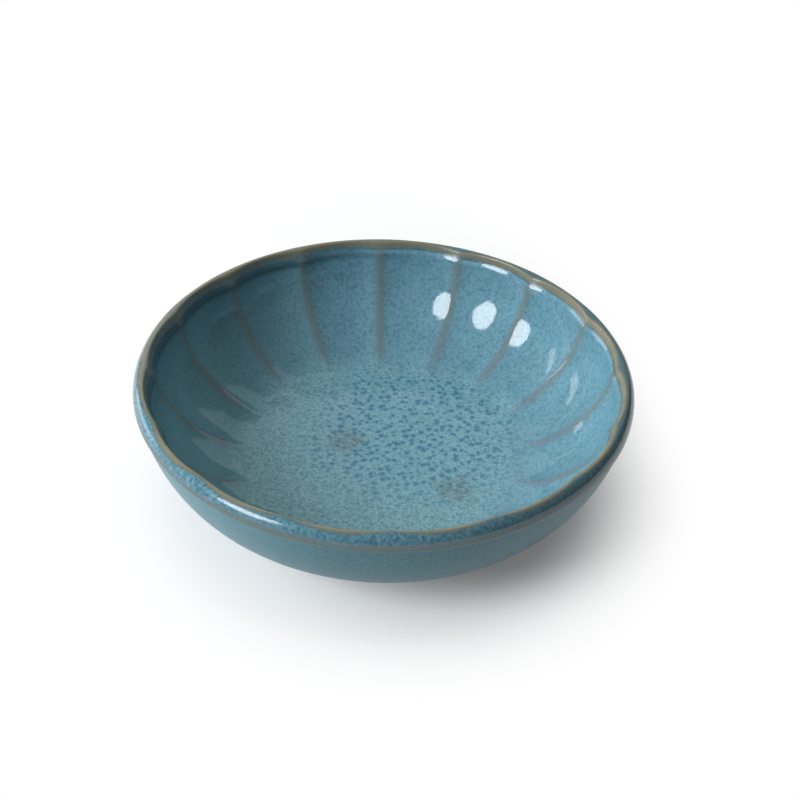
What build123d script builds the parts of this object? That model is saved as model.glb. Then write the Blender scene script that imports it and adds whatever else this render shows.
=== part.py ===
from build123d import *
import math
import os

# Soy sauce dish: fluted stoneware with a rolled lip, a turned foot ring and fused coats of glaze.
# Millimetres, +Z up, origin on the table at the middle of the foot ring.

# Overall sizes
rim_diameter = 110.0
height = 30.0

# Foot ring
foot_diameter = 66.0
foot_width = 4.5
foot_height = 2.6
foot_lean = 0.6
foot_round = 0.5
foot_blend = 0.8
recess_depth = 2.2

# Outer wall, a curve from the foot over the belly to the neck under the lip
belly_inset = 4.5
belly_rise = 4.7

# Rolled lip
lip_drop = 2.9
lip_width = 2.2
lip_overhang = 0.8
neck_depth = 1.9

# Inside: flat floor, curved wall, flare up to the crest
floor_thickness = 3.95
floor_inset = 1.45
floor_ease = 0.35
bowl_inset = 4.1
bowl_rise = 9.8
rim_wall = 3.6
flare_drop = 4.1
flare_height = 2.4
flare_width = 1.35
flare_ease = 0.3
crest_lean = 0.4

# Flutes
flute_count = 16
flute_depth = 0.9

# Glaze and the lines where it breaks and the clay shows
glaze = 0.35
crest_line = 0.6
crest_line_drop = 1.9
lip_line_width = 0.7
lip_line_rise = 0.5
foot_line = 1.6

# Radii and heights that follow from the sizes above
rim_radius = rim_diameter / 2
foot_radius = foot_diameter / 2
recess_radius = foot_radius - foot_width
base_glaze_radius = recess_radius - foot_lean - glaze
foot_top_radius = foot_radius + foot_lean
glaze_foot_radius = foot_top_radius + foot_line
lip_line = height - lip_drop
lip_line_low = lip_line + lip_line_rise - lip_line_width / 2
lip_line_high = lip_line_low + lip_line_width
neck_line = lip_line - neck_depth
lip_top_radius = rim_radius - lip_width
neck_radius = rim_radius - lip_overhang
belly_radius = rim_radius - belly_inset
belly_line = foot_height + belly_rise
floor_line = recess_depth + floor_thickness
floor_radius = foot_radius - floor_inset
bowl_radius = rim_radius - bowl_inset
bowl_line = floor_line + bowl_rise
wall_top_radius = rim_radius - rim_wall
wall_top_line = height - flare_drop
crest_glaze_line = height - crest_line_drop

# A flute is a scoop turned about its own upright axis; neighbours meet in a ridge that stands
# flute_depth proud of the scoop at the top of the wall
pitch = 360 / flute_count
half_pitch = math.radians(pitch / 2)
ridge_top_radius = wall_top_radius - flute_depth
scoop_radius = (wall_top_radius**2 - ridge_top_radius**2) / (
    2 * (wall_top_radius - ridge_top_radius * math.cos(half_pitch))
)
scoop_axis = Axis((scoop_radius, 0, 0), (0, 0, 1))

# One flute's share of the dish starts on this upright plane, half a pitch before the X axis
share_plane = Plane(
    (0, 0, 0),
    x_dir=(math.cos(half_pitch), -math.sin(half_pitch), 0),
    z_dir=(-math.sin(half_pitch), -math.cos(half_pitch), 0),
)

# The floor inside the ring of scoop axes is one disc
disc_radius = scoop_radius / math.cos(half_pitch)
on_base = (Align.CENTER, Align.CENTER, Align.MIN)

# Room by which a cutting form passes the surface that it cuts
cut_room = 2.0


def outer_form(inset):
    """Half section of the dish without its hollow, its skin moved in by inset."""
    base = recess_depth + inset
    wall_foot = (foot_top_radius, foot_height + inset)
    belly = (belly_radius - inset, belly_line + inset)
    neck = (neck_radius - inset, neck_line)
    under_lip = (neck_radius - inset + lip_overhang / 4, neck_line + neck_depth * 2 / 3)
    lip_edge = (rim_radius - inset, lip_line)
    with BuildSketch() as form:
        with BuildLine():
            Polyline((0, base), (recess_radius - foot_lean, base), (recess_radius, 0), (foot_radius, 0), wall_foot)
            Bezier(wall_foot, belly, neck)
            Bezier(neck, under_lip, lip_edge)
            EllipticalCenterArc((lip_top_radius, lip_line), lip_width - inset, lip_drop - inset)
            Polyline((lip_top_radius, height - inset), (0, height - inset), (0, base))
        make_face()
    return form.sketch


def flute_form(grow):
    """Half section of one flute beyond its own axis, its skin moved out by grow."""
    floor = floor_line - grow
    floor_edge = (floor_radius, floor)
    floor_handle = (floor_radius + floor_ease * (bowl_radius - floor_radius) + grow / 2, floor)
    bowl = (bowl_radius + grow, bowl_line - grow)
    wall_top = (wall_top_radius + grow, wall_top_line)
    flare_handle = (wall_top_radius + grow, wall_top_line + flare_ease * flare_height)
    flare_top = (wall_top_radius + grow + flare_width, wall_top_line + flare_height)
    crest = (flare_top[0] + crest_lean, height)
    above_crest = (crest[0] + cut_room, height + cut_room)
    with BuildSketch() as form:
        with BuildLine():
            Line((scoop_radius, floor), floor_edge)
            Bezier(floor_edge, floor_handle, bowl, wall_top)
            Bezier(wall_top, flare_handle, flare_top)
            Polyline(flare_top, crest, above_crest, (scoop_radius, height + cut_room), (scoop_radius, floor))
        make_face()
    return form.sketch


fired_form = outer_form(0)
clay_form = outer_form(glaze)
mould_form = outer_form(-cut_room)
open_flute = flute_form(0)
clay_flute = flute_form(glaze)
crest_flute = flute_form(crest_line)

# Coat on the outside wall, from the line on the lip down to the line above the foot
with BuildPart() as outer_glaze:
    with BuildSketch(Plane.XZ) as outer_strip:
        add(fired_form)
        add(clay_form, mode=Mode.SUBTRACT)
        with Locations((glaze_foot_radius, 0)):
            Rectangle(rim_radius, lip_line_low, align=Align.MIN, mode=Mode.INTERSECT)
    revolve(axis=Axis.Z)

# Coat in the recess inside the foot ring
with BuildPart() as base_glaze:
    with BuildSketch(Plane.XZ) as base_strip:
        add(fired_form)
        add(clay_form, mode=Mode.SUBTRACT)
        Rectangle(base_glaze_radius, recess_depth + glaze, align=Align.MIN, mode=Mode.INTERSECT)
    revolve(axis=Axis.Z)

# Scoop as wide as the crest line: the lip's coat stays outside it
with BuildPart() as crest_scoop:
    with BuildSketch(Plane.XZ):
        add(crest_flute)
    revolve(axis=scoop_axis)

# Thick coat on the rolled lip, between the crest line and the lip line, one share and then the ring
with BuildPart() as lip_share:
    with BuildSketch(share_plane):
        add(fired_form)
        add(clay_form, mode=Mode.SUBTRACT)
        with Locations((0, lip_line_high)):
            Rectangle(rim_radius, lip_drop, align=Align.MIN, mode=Mode.INTERSECT)
    revolve(axis=Axis.Z, revolution_arc=pitch)
    add(crest_scoop.part, mode=Mode.SUBTRACT)

with BuildPart() as lip_glaze:
    with PolarLocations(0, flute_count, start_angle=pitch / 2):
        add(lip_share.part)

# Wedge between two ridges, outside the ring of scoop axes
with BuildPart() as flute_wedge:
    with BuildSketch():
        with BuildLine():
            Polyline(
                (scoop_radius, -scoop_radius * math.tan(half_pitch)),
                (rim_diameter, -rim_diameter * math.tan(half_pitch)),
                (rim_diameter, rim_diameter * math.tan(half_pitch)),
                (scoop_radius, scoop_radius * math.tan(half_pitch)),
                close=True,
            )
        make_face()
    extrude(amount=height)

# Coat on one flute up to the crest line, then all flutes and the floor
with BuildPart() as flute_coat:
    with BuildSketch(Plane.XZ):
        add(clay_flute)
        add(open_flute, mode=Mode.SUBTRACT)
        Rectangle(rim_diameter, crest_glaze_line, align=Align.MIN, mode=Mode.INTERSECT)
    revolve(axis=scoop_axis)
    add(flute_wedge.part, mode=Mode.INTERSECT)

with BuildPart() as inner_glaze:
    with Locations((0, 0, floor_line - glaze)):
        Cylinder(disc_radius, glaze, align=on_base)
    with PolarLocations(0, flute_count, start_angle=pitch / 2):
        add(flute_coat.part)

# What one share of the clay leaves free: the flute with its coat, and the lip's coat
with BuildPart() as flute_room:
    with BuildSketch(Plane.XZ):
        add(clay_flute)
        Rectangle(rim_diameter, crest_glaze_line, align=Align.MIN, mode=Mode.INTERSECT)
        add(open_flute)
    revolve(axis=scoop_axis)

with BuildPart() as lip_room:
    with BuildSketch(share_plane):
        add(mould_form)
        add(clay_form, mode=Mode.SUBTRACT)
        with Locations((0, lip_line_high)):
            Rectangle(rim_radius + cut_room, lip_drop + cut_room, align=Align.MIN, mode=Mode.INTERSECT)
    revolve(axis=Axis.Z, revolution_arc=pitch)
    add(crest_scoop.part, mode=Mode.SUBTRACT)

# One share of the clay, then the whole body with its bare foot ring
with BuildPart() as clay_share:
    with BuildSketch(share_plane):
        add(fired_form)
        add(outer_strip.sketch_local, mode=Mode.SUBTRACT)
        add(base_strip.sketch_local, mode=Mode.SUBTRACT)
    revolve(axis=Axis.Z, revolution_arc=pitch)
    with Locations((0, 0, floor_line - glaze)):
        Cylinder(disc_radius, height, align=on_base, mode=Mode.SUBTRACT)
    add(flute_room.part, mode=Mode.SUBTRACT)
    add(lip_room.part, mode=Mode.SUBTRACT)

with BuildPart() as stoneware_body:
    with PolarLocations(0, flute_count, start_angle=pitch / 2):
        add(clay_share.part)
    foot_corner = stoneware_body.edges().filter_by_position(Axis.Z, foot_height, foot_height)
    fillet(foot_corner, foot_blend)
    foot_face = stoneware_body.faces().sort_by(Axis.Z)[0]
    fillet(foot_face.edges(), foot_round)

stoneware_body.part.label = "stoneware_body"
inner_glaze.part.label = "inner_glaze"
lip_glaze.part.label = "lip_glaze"
outer_glaze.part.label = "outer_glaze"
base_glaze.part.label = "base_glaze"

os.makedirs("parts", exist_ok=True)
export_step(stoneware_body.part, "parts/stoneware_body.step")
export_step(inner_glaze.part, "parts/inner_glaze.step")
export_step(lip_glaze.part, "parts/lip_glaze.step")
export_step(outer_glaze.part, "parts/outer_glaze.step")
export_step(base_glaze.part, "parts/base_glaze.step")
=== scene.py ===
"""Looks of a fluted soy sauce dish: a clay body under four coats of teal glaze, on a plain white table."""
import logging
import math
from dataclasses import dataclass, field
from enum import Enum
from functools import reduce
from typing import Callable, Mapping, Sequence, Union

import bmesh
import bpy
from mathutils import Matrix, Vector


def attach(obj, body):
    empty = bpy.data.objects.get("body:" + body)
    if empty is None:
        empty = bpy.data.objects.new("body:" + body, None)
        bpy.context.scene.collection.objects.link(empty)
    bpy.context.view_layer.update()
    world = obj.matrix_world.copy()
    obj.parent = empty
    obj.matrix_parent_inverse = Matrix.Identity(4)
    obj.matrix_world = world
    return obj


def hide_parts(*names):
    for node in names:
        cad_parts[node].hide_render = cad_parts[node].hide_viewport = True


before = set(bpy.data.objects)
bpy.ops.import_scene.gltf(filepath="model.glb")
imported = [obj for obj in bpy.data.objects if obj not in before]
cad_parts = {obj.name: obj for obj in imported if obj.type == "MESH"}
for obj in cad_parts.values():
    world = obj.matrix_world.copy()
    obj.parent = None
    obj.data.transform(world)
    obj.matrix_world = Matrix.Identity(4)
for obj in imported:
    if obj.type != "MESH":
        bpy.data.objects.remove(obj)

LOG = logging.getLogger("soy_sauce_dish")
MM = 0.001
BODY = "root"
WHITE = (1.0, 1.0, 1.0, 1.0)
HALVINGS = 50
RADIUS, HEIGHT = 0, 1

Point = tuple[float, float]
Span = tuple[float, float]
Colour = tuple[float, float, float]
Operand = Union["Socket", float]
Shade = Union["Socket", Colour]


def linear(shade: Colour) -> tuple[float, float, float, float]:
    """Turns a display colour into the linear one that a shader takes.

    Args:
        shade: Red, green and blue from 0 to 255, as a screen shows them.

    Returns:
        The same colour, linear, with an alpha of one.
    """
    parts = [channel / 255 for channel in shade]
    bent = [c / 12.92 if c <= 0.04045 else ((c + 0.055) / 1.055) ** 2.4 for c in parts]
    return (bent[0], bent[1], bent[2], 1.0)


def ease(span: Span, share: "Socket") -> "Socket":
    """Goes from the first value of a span to the second, by a share from 0 to 1."""
    return span[0] + (span[1] - span[0]) * share


def direction(turn: float, rise: float) -> Vector:
    """Gives the unit vector away from the dish, by degrees round it from the X axis and above the table."""
    a, e = math.radians(turn), math.radians(rise)
    return Vector((math.cos(e) * math.cos(a), math.cos(e) * math.sin(a), math.sin(e)))


def emptied(owner: bpy.types.Material | bpy.types.World) -> bpy.types.NodeTree:
    """Gives a new material or world a node tree with nothing in it.

    Args:
        owner: The material or world.

    Returns:
        Its tree.
    """
    owner.use_nodes = True
    owner.node_tree.nodes.clear()
    return owner.node_tree


def placed(name: str, data: bpy.types.ID) -> bpy.types.Object:
    """Puts a new object into the scene.

    Args:
        name: Name of the object.
        data: Its mesh, light or camera.

    Returns:
        The object.
    """
    made = bpy.data.objects.new(name, data)
    bpy.context.scene.collection.objects.link(made)
    return made


def between(start: Point, goal: Point, share: float) -> Point:
    """Gives the point at a share of the way from one point to another."""
    return (start[0] + (goal[0] - start[0]) * share, start[1] + (goal[1] - start[1]) * share)


def towards(start: Point, goal: Point, distance: float) -> Point:
    """Gives the point at a distance from one point towards another, or away from it."""
    return between(start, goal, distance / math.dist(start, goal))


def changeover(low: float, high: float, holds: Callable[[float], bool]) -> float:
    """Finds by halving up to where a test holds.

    Args:
        low: A value for which it holds.
        high: A larger value for which it doesn't.
        holds: The test.

    Returns:
        The largest value for which it holds.
    """
    for _ in range(HALVINGS):
        middle = (low + high) / 2
        if holds(middle):
            low = middle
        else:
            high = middle
    return low


def bezier(handles: Sequence[Point], start: float, end: float, steps: int) -> list[Point]:
    """Traces part of a Bezier curve.

    Args:
        handles: Its end points and the handles between them.
        start: Share of the curve at which the trace starts.
        end: Share of the curve at which the trace ends.
        steps: Number of steps of the trace.

    Returns:
        One point more than there are steps.
    """
    line = []
    for step in range(steps + 1):
        share = start + (end - start) * step / steps
        row = list(handles)
        while len(row) > 1:
            row = [between(a, b, share) for a, b in zip(row, row[1:])]
        line.append(row[0])
    return line


def bezier_share(handles: Sequence[Point], axis: int, value: float) -> float:
    """Finds the share of a curve at which its radius or height, which rises all the way, reaches a value."""
    return changeover(0.0, 1.0, lambda share: bezier(handles, share, share, 1)[0][axis] < value)


def rounded(corners: Sequence[tuple[float, float, float]], steps: int) -> list[Point]:
    """Traces a broken line with its corners rounded.

    Args:
        corners: Radius and height of each corner, and how far its rounding reaches along both sides.
        steps: Number of steps of each rounding.

    Returns:
        The line's points.
    """
    line: list[Point] = []
    for number, (r, z, reach) in enumerate(corners):
        corner = (r, z)
        if reach == 0:
            line.append(corner)
            continue
        before, after = corners[number - 1][:2], corners[number + 1][:2]
        line += bezier([towards(corner, before, reach), corner, towards(corner, after, reach)], 0, 1, steps)
    return line


@dataclass(frozen=True)
class DishSizes:
    """Sizes of the dish in millimetres; radii are from its axis, lines are heights above the table."""

    rim_radius: float = 55.0
    height: float = 30.0
    # Foot ring
    foot_radius: float = 33.0
    foot_width: float = 4.5
    foot_height: float = 2.6
    foot_lean: float = 0.6
    foot_round: float = 0.5
    foot_blend: float = 0.8
    recess_depth: float = 2.2
    recess_round: float = 0.15
    # Outer wall and rolled lip
    belly_inset: float = 4.5
    belly_rise: float = 4.7
    lip_drop: float = 2.9
    lip_width: float = 2.2
    lip_overhang: float = 0.8
    neck_depth: float = 1.9
    # Inside: flat floor, curved wall, flare up to the crest
    floor_thickness: float = 3.95
    floor_inset: float = 1.45
    floor_ease: float = 0.35
    bowl_inset: float = 4.1
    bowl_rise: float = 9.8
    rim_wall: float = 3.6
    flare_drop: float = 3.0
    flare_height: float = 1.3
    flare_width: float = 0.73
    flare_ease: float = 0.3
    crest_lean: float = 0.4
    crest_pull: float = 0.45
    # Flutes
    flute_count: int = 16
    flute_depth: float = 1.05
    ridge_soft: float = 1.2
    # Glaze and the lines where it ends
    glaze: float = 0.35
    crest_line: float = 0.6
    crest_line_drop: float = 1.9
    lip_line_width: float = 0.7
    lip_line_rise: float = 0.5
    foot_line: float = 1.6

    @property
    def pitch(self) -> float:
        """Angle from ridge to ridge, in radians."""
        return 2 * math.pi / self.flute_count

    @property
    def lip_line(self) -> float:
        """Height of the lip's outermost edge."""
        return self.height - self.lip_drop

    @property
    def lip_line_low(self) -> float:
        """Height to which the coat outside reaches."""
        return self.lip_line + self.lip_line_rise - self.lip_line_width / 2

    @property
    def lip_line_high(self) -> float:
        """Height at which the coat on the lip starts."""
        return self.lip_line_low + self.lip_line_width

    @property
    def lip_top_radius(self) -> float:
        """Radius at which the lip is highest."""
        return self.rim_radius - self.lip_width

    @property
    def floor_line(self) -> float:
        """Height of the floor inside."""
        return self.recess_depth + self.floor_thickness

    @property
    def floor_radius(self) -> float:
        """Radius at which a flute leaves the floor."""
        return self.foot_radius - self.floor_inset

    @property
    def wall_top_radius(self) -> float:
        """Radius of a flute's valley under the crest."""
        return self.rim_radius - self.rim_wall

    @property
    def crest_glaze_line(self) -> float:
        """Height to which the coat inside reaches."""
        return self.height - self.crest_line_drop

    @property
    def foot_glaze_radius(self) -> float:
        """Radius at which the coat outside starts."""
        return self.foot_radius + self.foot_lean + self.foot_line

    @property
    def base_glaze_radius(self) -> float:
        """Radius of the coat in the recess."""
        return self.foot_radius - self.foot_width - self.foot_lean - self.glaze

    @property
    def scoop_radius(self) -> float:
        """Distance from the dish's axis to the axis that each scoop was turned about."""
        valley = self.wall_top_radius
        ridge = valley - self.flute_depth
        return (valley**2 - ridge**2) / (2 * (valley - ridge * math.cos(self.pitch / 2)))

    def ridge_radius(self, valley: float) -> float:
        """Gives the radius of the ridge beside a point of a flute's valley.

        Args:
            valley: Radius in the valley.

        Returns:
            Radius at the same height on the ridge.
        """
        across = self.scoop_radius * math.sin(self.pitch / 2)
        along = self.scoop_radius * math.cos(self.pitch / 2)
        return along + math.sqrt(max((valley - self.scoop_radius) ** 2 - across**2, 0))


@dataclass
class Section:
    """Cross-section of one piece, traced once through a flute's valley and once through a ridge."""

    sizes: DishSizes
    valley: list[Point] = field(default_factory=list)
    ridge: list[Point] = field(default_factory=list)

    def turn(self, line: Sequence[Point]) -> "Section":
        """Adds a line that is the same all round."""
        return self.pair(line, line)

    def flute(self, line: Sequence[Point]) -> "Section":
        """Adds a line of the fluted wall, given as it runs in the valley."""
        return self.pair(line, [(self.sizes.ridge_radius(r), z) for r, z in line])

    def pair(self, valley: Sequence[Point], ridge: Sequence[Point]) -> "Section":
        """Adds a line that differs between valley and ridge.

        Args:
            valley: Points in the valley.
            ridge: As many points on the ridge.

        Returns:
            This section.
        """
        self.valley += valley
        self.ridge += ridge
        return self


class Side(Enum):
    """Where on the flutes a line is traced, in the order that a section takes them."""

    VALLEY = "valley"
    RIDGE = "ridge"


@dataclass(frozen=True)
class DishForm:
    """Lines of the dish's surface, from which the sections of its pieces are put together."""

    sizes: DishSizes
    least_flare_steps: int = 4
    hollow_steps: int = 6
    fine_steps: int = 60

    def flare(self, grow: float) -> list[Point]:
        """Gives the handles of the flare that leads from the wall inside to the crest.

        Args:
            grow: Depth below the fired surface.

        Returns:
            Start, handle and end, from the wall upwards.
        """
        s = self.sizes
        start, radius = s.height - s.flare_drop, s.wall_top_radius + grow
        handle = (radius, start + s.flare_ease * s.flare_height)
        return [(radius, start), handle, (radius + s.flare_width, start + s.flare_height)]

    def inner_wall(self, grow: float, steps: int) -> list[Point]:
        """Traces a flute's valley from the floor up to where the coat inside ends.

        Args:
            grow: Depth below the fired surface.
            steps: Number of steps below the flare.

        Returns:
            Points from the floor upwards.
        """
        s = self.sizes
        bowl_radius = s.rim_radius - s.bowl_inset
        floor = s.floor_line - grow
        flare = self.flare(grow)
        wall = [
            (s.floor_radius, floor),
            (s.floor_radius + s.floor_ease * (bowl_radius - s.floor_radius) + grow / 2, floor),
            (bowl_radius + grow, s.floor_line + s.bowl_rise - grow),
            flare[0],
        ]
        end = bezier_share(flare, HEIGHT, s.crest_glaze_line)
        flare_steps = max(self.least_flare_steps, steps // 4)
        return bezier(wall, 0, 1, steps) + bezier(flare, 0, end, flare_steps)[1:]

    def outer_wall(self, inset: float, steps: int) -> list[Point]:
        """Traces the wall outside from the foot's line over the hollow under the lip to the line on the lip.

        Args:
            inset: Depth below the fired surface.
            steps: Number of steps below the neck.

        Returns:
            Points from the foot upwards.
        """
        s = self.sizes
        foot = (s.foot_radius + s.foot_lean, s.foot_height + inset)
        belly = (s.rim_radius - s.belly_inset - inset, s.foot_height + s.belly_rise + inset)
        neck = (s.rim_radius - s.lip_overhang - inset, s.lip_line - s.neck_depth)
        under_lip = (neck[0] + s.lip_overhang / 4, neck[1] + s.neck_depth * 2 / 3)
        wall = [foot, belly, neck]
        hollow = [neck, under_lip, (s.rim_radius - inset, s.lip_line)]
        start = bezier_share(wall, RADIUS, s.foot_glaze_radius)
        end = self.lip_point(inset, self.lip_turn(inset, s.lip_line_low))
        return bezier(wall, start, 1, steps) + bezier(hollow, 0, 1, self.hollow_steps)[1:] + [end]

    def lip_turn(self, inset: float, height: float) -> float:
        """Gives the angle up from the lip's outermost edge, in radians, at a height on the lip."""
        return math.asin((height - self.sizes.lip_line) / (self.sizes.lip_drop - inset))

    def lip_point(self, inset: float, turn: float) -> Point:
        """Gives a point of the rolled lip, a quarter of an ellipse.

        Args:
            inset: Depth below the fired surface.
            turn: Angle up from the lip's outermost edge, in radians.

        Returns:
            Radius and height.
        """
        s = self.sizes
        wide, tall = s.lip_width - inset, s.lip_drop - inset
        return (s.lip_top_radius + wide * math.cos(turn), s.lip_line + tall * math.sin(turn))

    def crest_turn(self, inset: float, side: Side) -> float:
        """Finds where the lip's coat ends at the crest line.

        Args:
            inset: Depth below the fired surface.
            side: Valley or ridge.

        Returns:
            Angle on the lip, in radians.
        """
        s = self.sizes
        top_radius, top_line = self.flare(s.crest_line)[-1]

        def outside(turn: float) -> bool:
            """Tells whether a place on the lip lies outside the crest line.

            Args:
                turn: Angle on the lip, in radians.

            Returns:
                Whether it does.
            """
            r, z = self.lip_point(inset, turn)
            edge = top_radius + s.crest_lean * (z - top_line) / (s.height - top_line)
            return r > (s.ridge_radius(edge) if side is Side.RIDGE else edge)

        return changeover(0.0, math.pi / 2, outside)

    def lip(self, inset: float, side: Side, steps: int) -> list[Point]:
        """Traces the lip from the line on its edge up to the crest line.

        Args:
            inset: Depth below the fired surface.
            side: Valley or ridge.
            steps: Number of steps.

        Returns:
            Points from the edge upwards.
        """
        start = self.lip_turn(inset, self.sizes.lip_line_high)
        end = self.crest_turn(inset, side)
        return [self.lip_point(inset, start + (end - start) * n / steps) for n in range(steps + 1)]

    def crest(self, side: Side, steps: int) -> list[Point]:
        """Traces the rounded crest from the lip's coat over to the coat inside.

        Args:
            side: Valley or ridge.
            steps: Number of steps.

        Returns:
            Points from the lip inwards.
        """
        wall = self.inner_wall(0, self.fine_steps)[-2:]
        if side is Side.RIDGE:
            wall = [(self.sizes.ridge_radius(r), z) for r, z in wall]
        lip = self.lip(0, side, self.fine_steps)[-2:]
        pull = self.sizes.crest_pull * math.dist(lip[1], wall[1])
        handles = [lip[1], towards(lip[1], lip[0], -pull), towards(wall[1], wall[0], -pull), wall[1]]
        return bezier(handles, 0, 1, steps)


class Socket:
    """One output of a node, with arithmetic that adds Math nodes to its tree."""

    def __init__(self, graph: "Graph", node: bpy.types.Node, output: int | str = 0) -> None:
        """Points at an output of a node, by its number or name."""
        self.graph, self.node, self.output = graph, node, output

    def out(self, output: int | str) -> "Socket":
        """Gives another output of the same node."""
        return Socket(self.graph, self.node, output)

    def __add__(self, other: Operand) -> "Socket":
        """Adds."""
        return self.graph.math("ADD", self, other)

    def __radd__(self, other: Operand) -> "Socket":
        """Adds to a number."""
        return self.graph.math("ADD", other, self)

    def __sub__(self, other: Operand) -> "Socket":
        """Subtracts."""
        return self.graph.math("SUBTRACT", self, other)

    def __rsub__(self, other: Operand) -> "Socket":
        """Subtracts from a number."""
        return self.graph.math("SUBTRACT", other, self)

    def __mul__(self, other: Operand) -> "Socket":
        """Multiplies."""
        return self.graph.math("MULTIPLY", self, other)

    def __rmul__(self, other: Operand) -> "Socket":
        """Multiplies a number."""
        return self.graph.math("MULTIPLY", other, self)

    def __truediv__(self, other: Operand) -> "Socket":
        """Divides."""
        return self.graph.math("DIVIDE", self, other)

    def __rtruediv__(self, other: Operand) -> "Socket":
        """Divides a number."""
        return self.graph.math("DIVIDE", other, self)

    def __abs__(self) -> "Socket":
        """Drops the sign."""
        return self.graph.math("ABSOLUTE", self)


@dataclass(frozen=True)
class Grain:
    """A noise field: features in one unit of length, finer layers, their strength, and how far it is bent."""

    scale: Operand
    detail: float = 2.0
    roughness: float = 0.5
    distortion: float = 0.0


class Graph:
    """A node tree with one way to add a node."""

    def __init__(self, tree: bpy.types.NodeTree) -> None:
        """Takes a shader or geometry node tree to add to."""
        self.tree = tree

    def node(
        self,
        kind: str,
        settings: Mapping[str, object] | None = None,
        inputs: Mapping[int | str, object] | None = None,
    ) -> Socket:
        """Adds a node.

        Args:
            kind: Blender's name of the node type.
            settings: Its properties, such as a Math node's operation, set first.
            inputs: Values or links of its sockets, by name or number.

        Returns:
            Its first output.
        """
        made = self.tree.nodes.new(kind)
        for name, value in (settings or {}).items():
            setattr(made, name, value)
        for name, value in (inputs or {}).items():
            if isinstance(value, Socket):
                self.tree.links.new(value.node.outputs[value.output], made.inputs[name])
            else:
                made.inputs[name].default_value = value
        return Socket(self, made)

    def math(self, operation: str, *operands: Operand) -> Socket:
        """Adds a Math node by Blender's name of its operation, with its numbers or links in order."""
        return self.node("ShaderNodeMath", {"operation": operation}, dict(enumerate(operands)))

    def most(self, *values: Socket) -> Socket:
        """Gives the largest of several values."""
        return reduce(lambda first, second: self.math("MAXIMUM", first, second), values)

    def length(self, x: Socket, y: Socket) -> Socket:
        """Gives the length of a flat vector from its two parts."""
        return self.math("SQRT", x * x + y * y)

    def split(self, vector: Socket) -> tuple[Socket, Socket, Socket]:
        """Takes a vector apart into its three parts."""
        parts = self.node("ShaderNodeSeparateXYZ", inputs={0: vector})
        return parts, parts.out(1), parts.out(2)

    def join(self, x: Operand, y: Operand, z: Operand) -> Socket:
        """Puts a vector together from its three parts."""
        return self.node("ShaderNodeCombineXYZ", inputs={0: x, 1: y, 2: z})

    def scaled(self, vector: Socket, factor: float) -> Socket:
        """Stretches a vector by a factor."""
        return self.node("ShaderNodeVectorMath", {"operation": "SCALE"}, {0: vector, "Scale": factor})

    def smooth(self, value: Operand, low: Operand, high: Operand) -> Socket:
        """Adds a soft step from 0 at low to 1 at high, which may be the smaller of the two."""
        ends = {"Value": value, "From Min": low, "From Max": high}
        return self.node("ShaderNodeMapRange", {"interpolation_type": "SMOOTHSTEP"}, ends)

    def noise(self, place: Socket, grain: Grain) -> Socket:
        """Adds a noise field around 0.5, read at a place."""
        values = {name.capitalize(): value for name, value in vars(grain).items()}
        return self.node("ShaderNodeTexNoise", {"noise_dimensions": "3D"}, {"Vector": place, **values})

    def cells(self, place: Socket, spacing: float) -> tuple[Socket, Socket]:
        """Adds flat cells of uneven shape, read from a place's first two parts.

        Args:
            place: Where they are read.
            spacing: Mean distance between two cells' middles.

        Returns:
            Distance from the nearest middle, in the place's own unit, and a number from 0 to 1 for the cell.
        """
        values = {"Vector": place, "Scale": 1 / spacing}
        made = self.node("ShaderNodeTexVoronoi", {"voronoi_dimensions": "2D"}, values)
        return made.out("Distance") * spacing, self.split(made.out("Color"))[0]


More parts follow.
